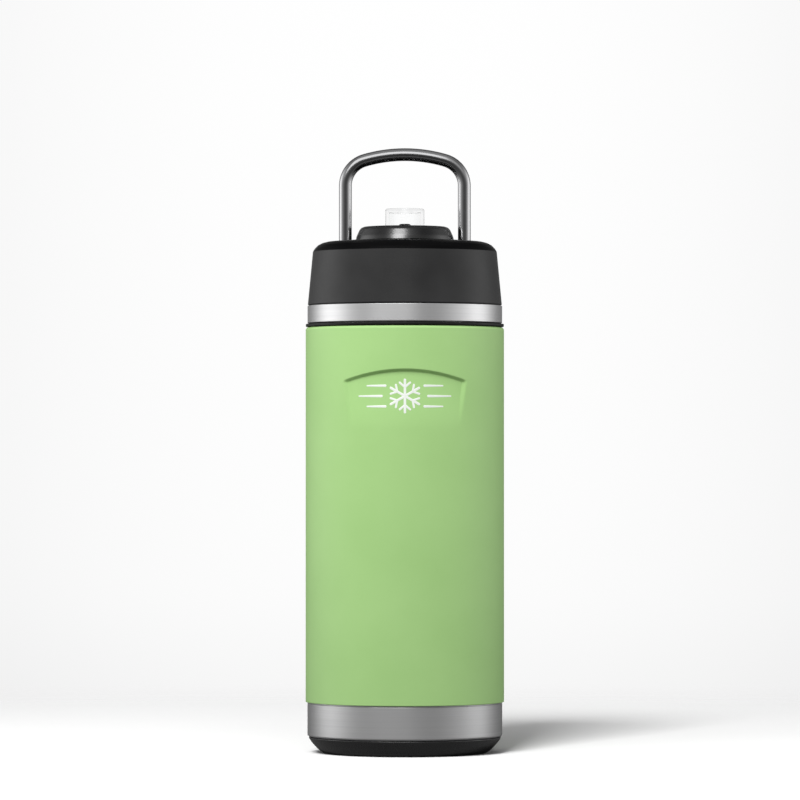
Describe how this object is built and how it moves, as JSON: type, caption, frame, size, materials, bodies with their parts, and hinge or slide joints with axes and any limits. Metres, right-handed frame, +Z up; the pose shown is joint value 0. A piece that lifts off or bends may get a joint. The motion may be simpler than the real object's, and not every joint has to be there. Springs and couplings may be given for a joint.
{
  "type": "vacuum flask",
  "caption": "Double-wall steel drinking flask with a screw lid, a folding steel loop handle and a clear pull-up drinking spout.",
  "frame": {"origin": "centre of the base on the ground", "axes": "+Z up along the bottle, -Y front (badge side), +X right; the handle hinges about X"},
  "size_m": [0.076, 0.076, 0.2316],
  "materials": {
    "green_powder_coat": "satin powder coat",
    "brushed_steel": "turned brushed stainless steel",
    "polished_steel": "polished stainless steel",
    "aluminium_foil": "bright foil",
    "black_plastic": "fine matt texture",
    "gloss_black_plastic": "gloss",
    "black_rubber": "matt",
    "grey_silicone": "matt",
    "clear_plastic": "clear, polished",
    "white_foam": "matt moulded foam",
    "white_nylon": "satin"
  },
  "bodies": {
    "flask": {"outer_shell": "green_powder_coat", "inner_flask": "brushed_steel", "base_cup": "brushed_steel", "base_pad": "black_rubber", "shoulder_ring": "black_rubber", "radiation_foil": "aluminium_foil", "getter": "brushed_steel", "vacuum_port_plug": "brushed_steel"},
    "lid_carrier": {"lid_gasket": "grey_silicone"},
    "lid": {"lid_shell": "black_plastic", "lid_band": "brushed_steel", "lid_liner": "black_plastic", "foam_ring": "white_foam", "foam_disc": "white_foam", "spout_base": "gloss_black_plastic", "spout_o_ring": "grey_silicone", "spout_gasket": "grey_silicone", "spout_nut": "black_plastic", "vent_valve": "grey_silicone", "handle_pin_left": "polished_steel", "handle_pin_right": "polished_steel", "washer_left_inner": "white_nylon", "washer_left_outer": "white_nylon", "washer_right_inner": "white_nylon", "washer_right_outer": "white_nylon"},
    "handle": {"handle": "polished_steel"},
    "spout": {"spout": "clear_plastic"}
  },
  "joints": [
    {"name": "lid_lift", "type": "slide", "parent": "flask", "child": "lid_carrier", "axis": [0, 0, 1], "range_m": [0, 0.0202]},
    {"name": "lid_turn", "type": "hinge", "parent": "lid_carrier", "child": "lid", "pos_m": [0, 0, 0.181], "axis": [0, 0, 1], "range_deg": [0, 1440]},
    {"name": "handle_fold", "type": "hinge", "parent": "lid", "child": "handle", "pos_m": [0, 0, 0.191], "axis": [-1, 0, 0], "range_deg": [0, 90]},
    {"name": "spout_push", "type": "slide", "parent": "lid", "child": "spout", "axis": [0, 0, 1], "range_m": [-0.005, 0]}
  ],
  "couplings": [
    {"joint": "lid_lift", "follows": "lid_turn", "m_per_rad": 0.00079577}
  ]
}
